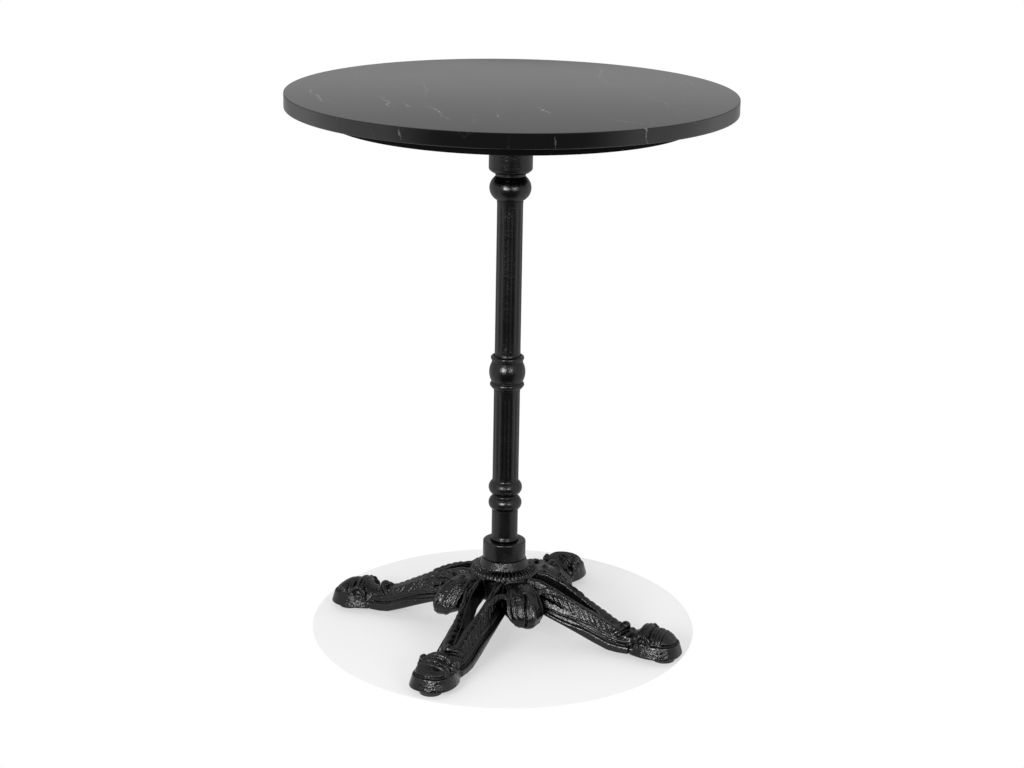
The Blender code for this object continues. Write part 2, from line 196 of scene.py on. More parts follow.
def add_loft(shape, sections):
    """Skin a row of sections of equally many points, with flat ends."""
    rings = [[shape.verts.new(point) for point in section] for section in sections]
    faces = [shape.faces.new(rings[0]), shape.faces.new(rings[-1])]
    for lower, upper in zip(rings, rings[1:]):
        for index in range(len(lower)):
            following = (index + 1) % len(lower)
            corners = (lower[index], lower[following], upper[following], upper[index])
            faces.append(shape.faces.new(corners))
    bmesh.ops.recalc_face_normals(shape, faces=faces)


def leg_section(turn, reach, points):
    """Section of a leg through (across, height) points, turned with that leg."""
    return [turn @ Vector((reach, across, height)) for across, height in points]


def mirrored(points):
    """The same points on the other side of a leg, in the opposite order."""
    return [(-across, height) for across, height in reversed(points)]


def add_ball(shape, place, radii, turn, detail=32):
    """Ellipsoid at a place of one leg, turned with that leg."""
    shift = turn @ Matrix.Translation(place) @ Matrix.Diagonal((*radii, 1.0))
    grid = {"u_segments": detail, "v_segments": detail // 2}
    bmesh.ops.create_uvsphere(shape, radius=1.0, matrix=shift, **grid)


def add_tube(shape, path, turn, side=1, sides=12):
    """Round bar through (reach, across, height, radius) points on one side of a leg."""
    centres = [turn @ Vector((reach, side * across, height)) for reach, across, height, _ in path]
    sections = []
    for index, point in enumerate(centres):
        before = centres[max(index - 1, 0)]
        after = centres[min(index + 1, len(path) - 1)]
        frame_turn = (after - before).to_track_quat("Z", "Y")
        ring = []
        for step in range(sides):
            angle = tau * step / sides
            spoke = Vector((cos(angle), sin(angle), 0.0)) * path[index][3]
            ring.append(point + frame_turn @ spoke)
        sections.append(ring)
    add_loft(shape, sections)


def new_object(name, data):
    """Object of a mesh, camera or lamp, linked into the scene."""
    thing = bpy.data.objects.new(name, data)
    bpy.context.scene.collection.objects.link(thing)
    return thing


def finish_mesh(name, shape, angle=None):
    """Object of a bmesh, shaded smooth, with sharp edges above an angle."""
    mesh = bpy.data.meshes.new(name)
    shape.to_mesh(mesh)
    shape.free()
    mesh.shade_smooth()
    if angle is not None:
        mesh.set_sharp_from_angle(angle=radians(angle))
    return new_object(name, mesh)


def turned(name, corners, segments, steps=8, spacing=None, relief=None, closed=False, angle=35):
    """Lathe-turned piece as an object of its own."""
    points = outline(corners, steps)
    if spacing:
        points = refine(points, spacing, closed)
    shape = bmesh.new()
    add_turned(shape, points, segments, relief, closed)
    return finish_mesh(name, shape, angle)


def apply_modifiers(piece):
    """Bake the modifiers of a piece into its mesh."""
    graph = bpy.context.evaluated_depsgraph_get()
    baked = bpy.data.meshes.new_from_object(piece.evaluated_get(graph))
    old = piece.data
    piece.modifiers.clear()
    piece.data = baked
    baked.name = piece.name
    bpy.data.meshes.remove(old)


def carve(piece, tools, solver):
    """Cut the solids of a bmesh out of a piece."""
    cutter = finish_mesh(f"{piece.name}_cutter", tools)
    boolean = piece.modifiers.new("Carve", "BOOLEAN")
    boolean.operation = "DIFFERENCE"
    boolean.solver = solver
    boolean.use_self = solver == "EXACT"
    boolean.object = cutter
    apply_modifiers(piece)
    bpy.data.objects.remove(cutter, do_unlink=True)


def drill(piece, holes, segments=40):
    """Cut round holes (x, y, radius, low, high) into a piece."""
    tools = bmesh.new()
    for x, y, radius, low, high in holes:
        place = Matrix.Translation((x, y, (low + high) / 2))
        size = {"radius1": radius, "radius2": radius, "depth": high - low}
        bmesh.ops.create_cone(tools, cap_ends=True, segments=segments, matrix=place, **size)
    carve(piece, tools, "MANIFOLD")


def cast(name, shape):
    """Melt overlapping solids into one skin, as a casting has."""
    piece = finish_mesh(name, shape)
    remesh = piece.modifiers.new("Cast", "REMESH")
    remesh.mode = "VOXEL"
    remesh.voxel_size = VOXEL
    remesh.use_smooth_shade = True
    soften = piece.modifiers.new("Soften", "SMOOTH")
    soften.factor = 0.5
    soften.iterations = 2
    apply_modifiers(piece)
    return piece


def leg_turn(index, offset=0.0):
    """Rotation to a leg, or with an offset of a half to the leaf after it."""
    return Matrix.Rotation(tau * (index + offset) / LEG_COUNT, 4, "Z")


def fade(value, low, high):
    """Smooth rise from 0 at low to 1 at high, for numbers and arrays."""
    share = np.clip((value - low) / (high - low), 0.0, 1.0)
    return share * share * (3 - 2 * share)


def window(value, low, high, soft):
    """1 between low and high, with soft ends outside them."""
    return fade(value, low - soft, low) * (1 - fade(value, high, high + soft))


def lookup(table, value):
    """Other columns of a table where its first one has a value, or an array of them."""
    first, *others = np.array(table).T
    return [np.interp(value, first, column) for column in others]


# ---- node helpers


def rgba(colour):
    """Opaque colour of a grey or (red, green, blue) level; a socket stays as it is."""
    if isinstance(colour, bpy.types.NodeSocket):
        return colour
    if isinstance(colour, (int, float)):
        colour = (colour, colour, colour)
    return (*colour, 1.0)


class Nodes:
    """Short way to add linked shader nodes to a tree."""

    def __init__(self, tree):
        self.tree = tree

    def add(self, kind, settings=None, **inputs):
        node = self.tree.nodes.new(f"ShaderNode{kind}")
        for key, value in (settings or {}).items():
            setattr(node, key, value)
        self.wire(node, **inputs)
        return node

    def wire(self, node, **inputs):
        """Link or set inputs by number, as in i0, or by name with _ for each space."""
        for key, value in inputs.items():
            numbered = key[0] == "i" and key[1:].isdigit()
            socket = node.inputs[int(key[1:]) if numbered else key.replace("_", " ")]
            if isinstance(value, bpy.types.NodeSocket):
                self.tree.links.new(value, socket)
            else:
                socket.default_value = value

    def maths(self, operation, first, second, third=0.0):
        return self.add("Math", {"operation": operation}, i0=first, i1=second, i2=third).outputs[0]

    def vector(self, operation, first, second=(0.0, 0.0, 0.0)):
        node = self.add("VectorMath", {"operation": operation}, i0=first, i1=second)
        return node.outputs["Value" if operation == "DOT_PRODUCT" else "Vector"]

    def ramp(self, factor, stops):
        """Colour ramp through (position, grey or colour) stops."""
        node = self.add("ValToRGB", Fac=factor)
        steps = node.color_ramp.elements
        while len(steps) < len(stops):
            steps.new(0.5)
        for step, (position, colour) in zip(steps, stops):
            step.position = position
            step.color = rgba(colour)
        return node.outputs["Color"]

    def mix(self, factor, first, second):
        colours = {"i6": rgba(first), "i7": rgba(second)}
        return self.add("Mix", {"data_type": "RGBA"}, i0=factor, **colours).outputs[2]

    def remap(self, value, low, high):
        """Spread a 0 to 1 value over low to high."""
        return self.maths("MULTIPLY_ADD", value, high - low, low)


class Finish(Nodes):
    """Material in the making: its nodes, its shader and the object's coordinates."""

    def __init__(self, name):
        self.material = bpy.data.materials.new(name)
        self.material.use_nodes = True
        super().__init__(self.material.node_tree)
        self.shader = self.tree.nodes["Principled BSDF"]
        self.coords = self.add("TexCoord").outputs["Object"]

    def noise(self, scale, detail=3.0, roughness=0.5, coords=None, output="Fac"):
        inputs = {"Scale": scale, "Detail": detail, "Roughness": roughness}
        return self.add("TexNoise", Vector=coords or self.coords, **inputs).outputs[output]

    def stretched_noise(self, scales, detail):
        """Noise drawn out along the axes whose scale is small."""
        mapping = self.add("Mapping", Vector=self.coords, Scale=scales)
        return self.noise(1.0, detail, 0.6, mapping.outputs[0])

    def finish(self, colour, roughness, height, depth, **others):
        """Material with this colour, roughness, bump from a height and other inputs."""
        normal = self.add("Bump", Strength=1.0, Distance=depth, Height=height).outputs["Normal"]
        self.wire(self.shader, Base_Color=colour, Roughness=roughness, Normal=normal, **others)
        return self.material


# ---- materials


def iron_material(name, skin, gloss):
    """Black sand casting: skin is the depth of its dimples, gloss its least roughness.

    The iron is metallic with a dark reflection, so that painted shade can turn hollows, sheltered
    spots and the legs' slots fully black, in colour and in reflection.
    """
    nodes = Finish(name)
    grain = nodes.noise(700.0, 2.0, 0.6)
    dimples = nodes.noise(330.0, 1.5, 0.45)
    waves = nodes.noise(90.0, 2.0)
    patches = nodes.noise(30.0, 4.0, 0.6)
    pointed = nodes.add("NewGeometry").outputs["Pointiness"]
    rubbed = nodes.ramp(pointed, [(0.51, 0.0), (0.6, 1.0)])
    rubbed = nodes.maths("MULTIPLY", rubbed, grain)
    # Painted shade: hollows found by pointiness, spots sheltered by nearby iron and the marked
    # faces of the legs' slots.
    open_air = nodes.add("AmbientOcclusion", {"samples": 6}, Distance=0.026)
    painted_occlusion_shade = nodes.ramp(open_air.outputs["AO"], [(0.3, 1.0), (0.72, 0.0)])
    hollow = nodes.ramp(pointed, [(0.4, 1.0), (0.485, 0.0)])
    hollow = nodes.maths("MAXIMUM", hollow, painted_occlusion_shade)
    # painted shade on the marked faces of the legs' slots
    painted_slot_shade = nodes.add("Attribute", {"attribute_name": "painted_slot_shade"}).outputs["Fac"]
    hollow = nodes.maths("MAXIMUM", hollow, nodes.maths("MULTIPLY", painted_slot_shade, SLOT_SHADE))
    colour = nodes.mix(patches, (0.03, 0.03, 0.031), (0.046, 0.045, 0.046))
    colour = nodes.mix(rubbed, colour, (0.1, 0.098, 0.098))
    # painted shade: the colour turns near black in those hollows
    colour = nodes.mix(hollow, colour, 0.0045)
    roughness = nodes.remap(nodes.maths("ADD", patches, grain), gloss, gloss + 0.12)
    roughness = nodes.maths("MULTIPLY_ADD", hollow, 0.3, roughness)
    rough_skin = nodes.ramp(patches, [(0.38, 0.45), (0.62, 1.0)])
    height = nodes.maths("MULTIPLY_ADD", grain, 0.45, dimples)
    height = nodes.maths("MULTIPLY", height, rough_skin)
    height = nodes.maths("MULTIPLY_ADD", waves, 0.4, height)
    # painted shade on the reflection: its tint dims in the hollows
    rim = nodes.mix(hollow, 1.0, 0.1)
    return nodes.finish(colour, roughness, height, skin, Specular_Tint=rim, Metallic=1.0)


# Veins that show on the top: centre x, y, direction in degrees, length, width, strength.
TOP_VEINS = [
    (-0.213, -0.148, -53, 0.085, 0.0028, 1.0),
    (-0.17, -0.185, -48, 0.05, 0.002, 0.5),
    (-0.112, -0.146, -55, 0.07, 0.0026, 1.0),
    (-0.076, -0.158, -50, 0.034, 0.0022, 0.7),
    (-0.022, -0.185, -53, 0.085, 0.0022, 0.9),
    (-0.052, -0.15, -40, 0.05, 0.0018, 0.5),
    (0.057, -0.173, -62, 0.048, 0.0022, 0.8),
    (0.02, -0.09, -72, 0.04, 0.0018, 0.5),
    (0.09, -0.111, -52, 0.05, 0.0026, 0.9),
    (-0.117, -0.016, -60, 0.075, 0.0022, 0.7),
    (-0.095, -0.06, -66, 0.06, 0.0018, 0.5),
    (-0.146, 0.233, -4, 0.04, 0.003, 0.8),
    (-0.18, 0.06, -35, 0.06, 0.0024, 0.5),
    (-0.24, 0.02, -58, 0.06, 0.0018, 0.5),
    (0.039, 0.22, -66, 0.11, 0.0024, 0.8),
    (0.1, 0.125, -42, 0.085, 0.0018, 0.6),
    (0.15, 0.085, -38, 0.07, 0.0016, 0.5),
    (0.191, 0.035, -47, 0.08, 0.0018, 0.6),
    (0.212, -0.133, -14, 0.07, 0.0018, 0.6),
    (0.262, -0.045, 20, 0.04, 0.0016, 0.6),
    (0.17, 0.205, -30, 0.04, 0.0022, 0.7),
    (0.24, 0.08, -38, 0.07, 0.0014, 0.5),
]
# Veins that cross the edge: azimuth in degrees, lean, width, strength.
EDGE_VEINS = [
    (-93.8, 0.6, 0.0013, 0.8),
    (-56.4, 0.1, 0.0011, 0.5),
    (-33.6, 0.12, 0.0016, 1.0),
    (70.0, -0.4, 0.0018, 0.9),
    (128.0, 0.3, 0.0014, 0.7),
    (203.0, 0.2, 0.002, 0.9),
]


def add_vein(nodes, coords, veins, strength, place, direction, size):
    """Lay a soft spindle-shaped streak, bright along its middle, over other veins."""
    places = {"Vector": coords, "Location": place, "Rotation": direction, "Scale": size}
    streak = nodes.add("Mapping", {"vector_type": "TEXTURE"}, **places).outputs[0]
    streak = nodes.add("TexGradient", {"gradient_type": "SPHERICAL"}, Vector=streak).outputs["Fac"]
    return nodes.maths("MAXIMUM", veins, nodes.maths("MULTIPLY", streak, strength))


def marble_material():
    """Polished black marble with short white veins and a faint crackle."""
    nodes = Finish("black_marble")
    wander = nodes.noise(26.0, 4.0, 0.62, output="Color")
    wander = nodes.vector("SUBTRACT", wander, (0.5, 0.5, 0.5))
    wander = nodes.vector("MULTIPLY", wander, (0.028, 0.028, 0.012))
    bent = nodes.vector("ADD", nodes.coords, wander)
    table_top = cad_box[1][2]
    veins = 0.0
    for x, y, degrees, length, width, strength in TOP_VEINS:
        place = (x, y, table_top)
        size = (1.9 * length / 2, 0.95 * width, 0.006)
        veins = add_vein(nodes, bent, veins, strength, place, (0.0, 0.0, radians(degrees)), size)
    radius = cad_box[1][0]
    for degrees, lean, width, strength in EDGE_VEINS:
        azimuth = radians(degrees)
        place = (radius * cos(azimuth), radius * sin(azimuth), table_top - 0.01)
        size = (0.006, width, 0.016)
        veins = add_vein(nodes, bent, veins, 2.0 * strength, place, (lean, 0.0, azimuth), size)
    patchy = nodes.noise(130.0, 3.0, 0.7)
    patchy = nodes.ramp(patchy, [(0.34, 0.15), (0.6, 1.0)])
    streaks = nodes.maths("MULTIPLY", veins, patchy)
    streaks = nodes.ramp(streaks, [(0.08, 0.0), (0.75, 0.5)])
    cracks = nodes.add(
        "TexVoronoi",
        {"feature": "DISTANCE_TO_EDGE"},
        Vector=nodes.vector("ADD", bent, wander),
        Scale=13.0,
    ).outputs["Distance"]
    cracks = nodes.ramp(cracks, [(0.0, 1.0), (0.016, 0.0)])
    clouds = nodes.noise(9.0, 4.0, 0.6)
    faint = nodes.ramp(clouds, [(0.5, 0.0), (0.66, 0.13)])
    cracks = nodes.maths("MULTIPLY", cracks, faint)
    white = nodes.maths("MAXIMUM", streaks, cracks)
    colour = nodes.mix(clouds, (0.0085, 0.0083, 0.0088), (0.0165, 0.016, 0.0165))
    colour = nodes.mix(white, colour, (0.62, 0.61, 0.6))
    roughness = nodes.remap(nodes.maths("ADD", clouds, white), 0.07, 0.17)
    facing = nodes.add("NewGeometry").outputs["Normal"]
    upward = nodes.add("SeparateXYZ", Vector=facing).outputs["Z"]
    arris = nodes.ramp(upward, [(0.1, 0.0), (0.25, 1.0), (0.85, 1.0), (0.95, 0.0)])
    roughness = nodes.maths("MULTIPLY_ADD", arris, 0.4, roughness)
    side = nodes.ramp(upward, [(0.1, 1.0), (0.25, 0.0)])
    # painted shade: the slab's side is darker than its top
    painted_edge_shade = nodes.maths("MULTIPLY", side, PAINTED_EDGE_SHADE)
    colour = nodes.mix(painted_edge_shade, colour, 0.002)
    along_edge = nodes.vector("MULTIPLY", nodes.coords, (14.0, 14.0, 230.0))
    honed = nodes.noise(1.0, 3.0, 0.6, along_edge)
    honed = nodes.maths("MULTIPLY", honed, side)
    roughness = nodes.maths("MULTIPLY_ADD", honed, 0.05, roughness)
    height = nodes.maths("MULTIPLY_ADD", honed, 8.0, nodes.noise(60.0))
    return nodes.finish(colour, roughness, height, 0.00001)


def board_material():
    """Black-stained board with a fine fibre, darkened further as painted shade under the slab."""
    nodes = Finish("black_board")
    fibre = nodes.stretched_noise((40.0, 600.0, 900.0), 4.0)
    clouds = nodes.noise(22.0, 3.0)
    # partly the board's black stain, partly painted shade: colour and reflection kept near black
    # for the slab's shadow
    colour = nodes.mix(fibre, 0.0008, (0.0024, 0.0023, 0.0022))
    roughness = nodes.remap(clouds, 0.45, 0.65)
    return nodes.finish(colour, roughness, fibre, 0.00012, Specular_IOR_Level=0.05)


def steel_material():
    """Zinc-plated steel with fine turning marks and dull patches."""
    nodes = Finish("zinc_steel")
    marks = nodes.stretched_noise((300.0, 300.0, 2600.0), 3.0)
    dull = nodes.noise(240.0, 3.0, 0.6)
    colour = nodes.mix(dull, (0.34, 0.35, 0.37), (0.58, 0.57, 0.55))
    roughness = nodes.remap(nodes.maths("ADD", dull, marks), 0.12, 0.36)
    return nodes.finish(colour, roughness, marks, 0.00006, Metallic=1.0)


def plastic_material():
    """Moulded black glide with a light texture and scuffs."""
    nodes = Finish("black_plastic")
    texture = nodes.noise(1500.0, 2.0, 0.6)
    scuffs = nodes.noise(180.0, 4.0, 0.7)
    scuffs = nodes.ramp(scuffs, [(0.52, 0.0), (0.7, 1.0)])
    colour = nodes.mix(scuffs, 0.011, (0.03, 0.029, 0.028))
    roughness = nodes.remap(scuffs, 0.4, 0.62)
    return nodes.finish(colour, roughness, texture, 0.00015)


# Material and slot of each finish.
IRON = (iron_material("black_cast_iron", 0.001, 0.07), "black_cast_iron")
TURNED_IRON = (iron_material("black_turned_iron", 0.0004, 0.13), "black_cast_iron")
MARBLE = (marble_material(), "black_marble")
BOARD = (board_material(), "black_board")
STEEL = (steel_material(), "zinc_steel")
PLASTIC = (plastic_material(), "black_plastic")


def place_piece(piece, finish, node, body="table"):
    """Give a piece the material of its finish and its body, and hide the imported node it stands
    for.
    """
    material, slot = finish
    piece.data.materials.clear()
    piece.data.materials.append(material)
    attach(piece, body)
    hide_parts(node)


# ---- the top


def make_marble_top():
    low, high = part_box("marble_top")
    corners = disc_corners(high.x, low.z, high.z, 0.001, 0.0014, QUARTER_ROUND)
    top = turned("marble_slab", corners, 288, steps=6, angle=60)
    place_piece(top, MARBLE, "marble_top")
    return top


def screw_places():
    """Places of the eight wood screws: two on each arm of the spider."""
    for number in range(1, 2 * LEG_COUNT + 1):
        low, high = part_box(f"spider_screw_{number}")
        yield number, (low.x + high.x) / 2, (low.y + high.y) / 2


def make_backing_board():
    low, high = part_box("backing_board")
    corners = disc_corners(high.x, low.z, high.z, 0.0014, 0.0014, QUARTER_ROUND)
    board = turned("board", corners, 224, steps=4, angle=60)
    drill(board, [(x, y, SCREW_HOLE, low.z - 0.002, low.z + 0.0125) for _, x, y in screw_places()])
    board.data.set_sharp_from_angle(angle=radians(40))
    place_piece(board, BOARD, "backing_board")


def make_top_spider():
    """Socket over the column with four ribbed arms, cast in one."""
    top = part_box("top_spider")[1].z
    socket = [
        (NUT_RECESS, top),
        (SOCKET_RADIUS, top),
        (SOCKET_RADIUS, 0.659),
        (0.027, 0.6561, 0.2),
        (0.0211, 0.6538, 0.3),
        (0.0156, 0.6538),
        (0.0156, 0.668),
        (ROD_HOLE, 0.668),
        (ROD_HOLE, 0.702),
        (NUT_RECESS, 0.702),
    ]
    shape = bmesh.new()
    add_turned(shape, refine(outline(socket), 0.004, True), 96, closed=True)
    rib = 0.0035
    # Reach, half width of the plate, depth of the rib below the top.
    stations = [
        (0.02, 0.015, 0.03),
        (0.034, 0.0146, 0.0285),
        (0.05, 0.0145, 0.0255),
        (0.08, 0.015, 0.0205),
        (0.11, 0.0155, 0.0165),
        (0.14, 0.0148, 0.012),
        (0.168, 0.0128, 0.0078),
        (0.184, 0.012, 0.0068),
        (0.192, 0.0095, 0.0064),
        (0.1955, 0.005, 0.006),
    ]
    plate = 0.006
    for index in range(LEG_COUNT):
        turn = leg_turn(index)
        sections = []
        for reach, half, depth in stations:
            side = [
                (half - 0.0008, top),
                (half, top - 0.0012),
                (half - 0.0004, top - (plate - 0.0022)),
                (half - 0.002, top - (plate - 0.0009)),
                (rib + 0.0016, top - plate),
                (rib, top - (plate + 0.0015)),
                (rib - 0.0006, top - max(depth, plate + 0.0004)),
            ]
            sections.append(leg_section(turn, reach, side + mirrored(side)))
        add_loft(shape, sections)
    spider = cast("spider_cross", shape)
    holes = [(x, y, SCREW_HOLE, top - 0.012, top + 0.002) for _, x, y in screw_places()]
    drill(spider, holes, 24)
    place_piece(spider, TURNED_IRON, "top_spider")


def make_spider_screws():
    """Pan-head wood screws with a cross recess and a cut thread."""
    low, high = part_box("spider_screw_1")
    seat = low.z + 0.003
    head = 0.0048
    shank = 0.0024
    corners = [
        (0.0, high.z),
        (shank * 0.25, high.z - 0.0008),
        (shank, high.z - 0.0035),
        (shank, seat),
        (head, seat),
        (head, seat - 0.0006),
        (head - 0.002, low.z + 0.00002, 0.4),
        (0.0, low.z),
    ]
    pitch = 0.0016

    def thread(angle, radius, height):
        share = ((height - seat) / pitch - angle / tau) % 1.0
        cut = abs(2 * share - 1)
        on_shank = seat + 0.001 < height < high.z - 0.0012
        return -0.0005 * cut if on_shank else 0.0

    pattern = turned("wood_screw", corners, 32, steps=6, spacing=0.0004, relief=thread, angle=50)
    recess = bmesh.new()
    for turn in (0, pi / 2):
        slot = Matrix.Translation((0, 0, low.z)) @ Matrix.Rotation(turn, 4, "Z")
        slot = slot @ Matrix.Diagonal((0.005, 0.0009, 0.003, 1.0))
        bmesh.ops.create_cube(recess, size=1.0, matrix=slot)
    carve(pattern, recess, "EXACT")
    for number, x, y in screw_places():
        screw = new_object(f"wood_screw_{number}", pattern.data.copy())
        turn = Matrix.Rotation(number * 0.7, 4, "Z")
        screw.data.transform(Matrix.Translation((x, y, 0.0)) @ turn)
        place_piece(screw, STEEL, f"spider_screw_{number}")
    bpy.data.objects.remove(pattern, do_unlink=True)


# ---- the column


def flutes(angle, radius, height):
    """Shallow flutes on the two shafts, faded out at their ends."""
    on_shaft = window(height, 0.417, 0.602, 0.01) + window(height, 0.234, 0.344, 0.008)
    wave = 0.5 + 0.5 * cos(FLUTES * angle)
    return -FLUTE_DEPTH * wave ** 2 * float(on_shaft)


def make_column():
    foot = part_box("base_collar")[0].z + 0.0175
    corners = [
        (0.015, 0.667),
        (0.015, 0.6533),
        (0.0206, 0.6533),
        (0.0204, 0.6505),
        (0.0196, 0.6488, 0.3),
        (0.018, 0.6165, 0.58),  # ball
        (0.0176, 0.612),
        (0.0177, 0.4016),  # upper shaft
        (0.0185, 0.4008),
        (0.0188, 0.4018),
        (0.0206, 0.4018),
        (0.0215, 0.3962, 0.6),
        (0.0208, 0.393, 0.2),
        (0.0212, 0.3655, 0.27),  # middle knop
        (0.0215, 0.3645),
        (0.0214, 0.358, 0.6),
        (0.0186, 0.3552, 0.2),
        (0.018, 0.354),
        (0.018, 0.225),  # lower shaft
        (0.0184, 0.2236),
        (0.0178, 0.2046, 0.52),  # upper ring
        (0.0172, 0.2036),
        (0.0172, 0.2022),
        (0.0178, 0.2012),
        (0.018, 0.1828, 0.54),  # lower ring
        (0.018, 0.153),
        (0.018, 0.142),
        (0.0182, 0.1374, 0.45),  # bead at the foot
        (0.0179, 0.1368),
        (0.0188, foot),
        (0.015, foot),
        (0.015, 0.1205),
        (0.011, 0.1205),
        (0.011, 0.667),
    ]
    column = turned("fluted_column", corners, 168, 12, 0.004, flutes, closed=True, angle=50)
    place_piece(column, TURNED_IRON, "column")


def make_base_collar():
    """Plain ring between the base casting and the column."""
    low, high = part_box("base_collar")
    radius = high.x
    corners = [
        (0.0194, high.z),
        (radius - 0.0022, high.z),
        (radius, high.z - 0.0022, QUARTER_ROUND),
        (radius, low.z + 0.0008),
        (radius - 0.0008, low.z, QUARTER_ROUND),
        (0.0153, low.z),
        (0.0153, low.z + 0.0169),
        (0.0194, low.z + 0.0169),
    ]
    collar = turned("collar_ring", corners, 128, steps=8, closed=True)
    place_piece(collar, TURNED_IRON, "base_collar")


# ---- the base casting

# Along a leg: reach, ridge height, half width of the slot, of the shoulder and of the
# lower edge, and height of the lower edge.
LEG_STATIONS = [
    (0.026, 0.093, 0.01, 0.0178, 0.0292, 0.062),
    (0.06, 0.0915, 0.0112, 0.018, 0.0297, 0.0515),
    (0.085, 0.0822, 0.0112, 0.018, 0.0297, 0.0423),
    (0.106, 0.0712, 0.0088, 0.0176, 0.0296, 0.0348),
    (0.124, 0.062, 0.0055, 0.0166, 0.0295, 0.028),
    (0.138, 0.0552, 0.002, 0.0156, 0.0292, 0.0222),
    (0.146, 0.0512, 0.0012, 0.015, 0.029, 0.019),
    (0.166, 0.0412, 0.001, 0.0132, 0.0285, 0.0118),
    (0.18, 0.0368, 0.001, 0.0118, 0.0272, 0.0098),
    (0.203, 0.033, 0.001, 0.0098, 0.0252, 0.0094),
]
# Shares of a side's height at a reach: raised line, top and bottom of the groove under it.
FLANK_LINES = [
    (0.06, 0.72, 0.72, 0.87),
    (0.097, 0.66, 0.7, 0.85),
    (0.112, 0.54, 0.61, 0.79),
    (0.125, 0.44, 0.56, 0.7),
    (0.14, 0.36, 0.52, 0.63),
    (0.17, 0.33, 0.5, 0.62),
    (0.203, 0.33, 0.5, 0.62),
]
RIB_PROUD = 0.0026


def flank_section(turn, reach, side):
    """Section of one side of a leg: a leaning plate with a round crest and a rib."""
    ridge, slot, shoulder, hem, skirt = lookup(LEG_STATIONS, reach)
    rib_top = ridge - (ridge - skirt) * lookup(FLANK_LINES, reach)[2]
    wall = skirt + 0.003 - 0.007 * float(window(reach, 0.072, 0.135, 0.012))
    points = [
        (slot + 0.0004, ridge - 0.0016),
        (slot + 0.0016, ridge - 0.0004),
        ((slot + shoulder) / 2, ridge),
        (shoulder - 0.0012, ridge - 0.0006),
        (shoulder + 0.0004, ridge - 0.0024),
        (hem - RIB_PROUD, rib_top + 0.0012),
        (hem - 0.0006, rib_top - 0.0004),
        (hem, rib_top - 0.002),
        (hem, skirt + 0.0014),
        (hem - 0.0014, skirt),
        (hem - 0.005, skirt),
        (hem - 0.0062, skirt + 0.0014),
        ((hem + slot) / 2 + 0.0022, (ridge + skirt) / 2 + 0.004),
        ((hem + slot) / 2 - 0.0022, (ridge + skirt) / 2 + 0.004),
        (slot + 0.0044, wall),
        (slot + 0.0012, wall),
    ]
    return leg_section(turn, reach, [(side * across, height) for across, height in points])


def add_leg(shape, turn):
    """Two leaning sides, open between them down to the instep."""
    reaches = np.linspace(LEG_STATIONS[0][0], LEG_STATIONS[-1][0], 45)
    for side in (1, -1):
        add_loft(shape, [flank_section(turn, reach, side) for reach in reaches])
    # Reach, half width, underside and top of the web between the sides.
    web = [
        (0.114, 0.012, 0.036, 0.042),
        (0.128, 0.011, 0.033, 0.05),
        (0.142, 0.012, 0.03, 0.049),
        (0.16, 0.016, 0.027, 0.041),
        (0.182, 0.02, 0.015, 0.0372),
        (0.206, 0.021, 0.011, 0.033),
    ]
    sections = []
    for reach, half, low, high in web:
        points = [
            (-half, low),
            (half, low),
            (half * 0.8, high - 0.005),
            (half * 0.35, high),
            (-half * 0.35, high),
            (-half * 0.8, high - 0.005),
        ]
        sections.append(leg_section(turn, reach, points))
    add_loft(shape, sections)


# Middle of the arched ribs beside a leg: reach, across, height; from the leg to the leaf.
ARCH_PATH = [
    (0.113, 0.016, 0.0672),
    (0.1, 0.017, 0.0732),
    (0.09, 0.019, 0.0768),
    (0.08, 0.0214, 0.0796),
    (0.0705, 0.0252, 0.0808),
    (0.0648, 0.0292, 0.079),
    (0.0642, 0.0325, 0.0735),
    (0.0668, 0.0348, 0.067),
    (0.069, 0.036, 0.059),
]
ARCH_FOCUS = Vector((0.08, 0.03, 0.066))


def add_arches(shape, turn):
    """Ribs that run back along each side of a leg and arch over onto the leaf."""
    last = len(ARCH_PATH) - 1
    for side in (1, -1):
        for rib in (-1.3, 0.0, 1.3):
            path = []
            for index, place in enumerate(ARCH_PATH):
                fan = sin(pi * min(index / last + 0.08, 1.0)) ** 0.6
                point = ARCH_FOCUS + (Vector(place) - ARCH_FOCUS) * (1 + 0.11 * rib * fan)
                radius = 0.0011 + 0.0008 * sin(pi * index / last)
                path.append((*point, radius))
            add_tube(shape, path, turn, side)


def add_bud(shape, turn):
    """Ball on the instep, with a leaf folded back from it on each side."""
    add_ball(shape, (0.1825, 0.0, 0.0405), (0.007, 0.0074, 0.0064), turn)
    leaf = [
        (0.1855, 0.004, 0.0405, 0.0018),
        (0.181, 0.0095, 0.039, 0.0034),
        (0.175, 0.014, 0.0345, 0.0034),
        (0.168, 0.0185, 0.0275, 0.0012),
    ]
    fold = [
        (0.193, 0.006, 0.036, 0.0014),
        (0.188, 0.012, 0.0325, 0.0026),
        (0.181, 0.0175, 0.028, 0.0024),
        (0.1745, 0.021, 0.0235, 0.001),
    ]
    for side in (1, -1):
        add_tube(shape, leaf, turn, side)
        add_tube(shape, fold, turn, side)


def plinth_section(inset, height, turn):
    """Plan of the paw's plinth: narrower, square heel and full, rounded toe."""
    half = PAW_HALF_WIDTH - inset
    heel = PLINTH_HEEL + inset
    centre = PLINTH_TOE - TOE_LENGTH
    points = []
    for share in (0.0, 0.3, 0.6):
        spread = 0.76 + 0.24 * sin(pi / 2 * share)
        points.append((heel + (centre - heel) * share, -half * spread))
    for step in range(25):
        angle = -pi / 2 + pi * step / 24
        bulge = max(cos(angle), 0.0) ** TOE_SQUARENESS
        spread = copysign(abs(sin(angle)) ** TOE_SQUARENESS, angle)
        points.append((centre + (TOE_LENGTH - inset) * bulge, half * spread))
    points += [(along, -across) for along, across in reversed(points[:3])]
    return [turn @ Vector((along, across, height)) for along, across in points]


